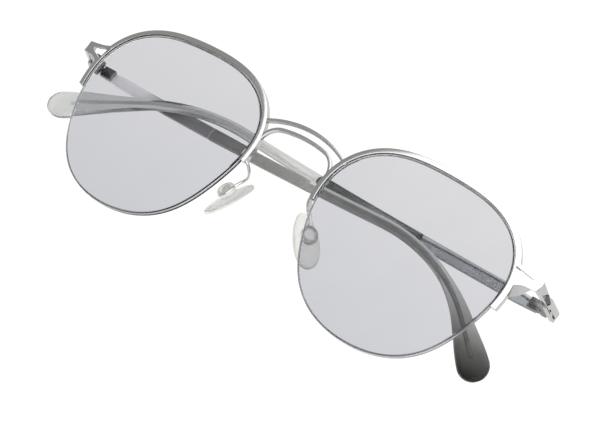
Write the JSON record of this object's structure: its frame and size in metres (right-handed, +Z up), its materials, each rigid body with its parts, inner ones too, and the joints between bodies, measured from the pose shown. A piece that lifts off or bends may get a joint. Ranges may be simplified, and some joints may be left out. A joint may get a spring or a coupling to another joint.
{
  "type": "half rim eyeglasses",
  "caption": "Folded half-rim eyeglasses with a double metal bridge, cord-held lenses, clear nose pads and slim metal temples with clear bent ends.",
  "frame": {"origin": "middle of the lying glasses' outline, on the surface they lie on", "axes": "+X from the wearer's right side to the left, as seen from in front the viewer's right; +Z up from the table; +Y towards the top of the lenses"},
  "size_m": [0.1386, 0.0422, 0.0229],
  "materials": {
    "titanium": "satin silver titanium",
    "lens_tint": "clear, faint cool grey",
    "nylon_dark": "dark nylon",
    "nylon_clear": "clear nylon",
    "silicone": "clear soft silicone",
    "screw_steel": "turned steel",
    "acetate": "polished clear grey acetate"
  },
  "bodies": {
    "front": {"front_frame": "titanium", "lens_right": "lens_tint", "lens_left": "lens_tint", "rim_liner_right": "nylon_dark", "rim_liner_left": "nylon_dark", "lens_cord_right": "nylon_clear", "lens_cord_left": "nylon_clear", "pad_arm_right": "titanium", "pad_arm_left": "titanium", "nose_pad_right": "silicone", "nose_pad_left": "silicone", "hinge_front_right": "titanium", "hinge_front_left": "titanium", "hinge_screw_right": "screw_steel", "hinge_screw_left": "screw_steel"},
    "temple_right": {"hinge_temple_right": "titanium", "temple_bar_right": "titanium", "temple_tip_right": "acetate"},
    "temple_left": {"hinge_temple_left": "titanium", "temple_bar_left": "titanium", "temple_tip_left": "acetate"}
  },
  "joints": [
    {"name": "temple_right_fold", "type": "hinge", "parent": "front", "child": "temple_right", "pos_m": [0.06676, 0.0128, 0.00427], "axis": [0.0026, -0.963, -0.2696], "range_deg": [0, 96.3]},
    {"name": "temple_left_fold", "type": "hinge", "parent": "front", "child": "temple_left", "pos_m": [-0.06594, 0.0128, 0.00298], "axis": [-0.0026, 0.963, 0.2696], "range_deg": [0, 98]}
  ]
}
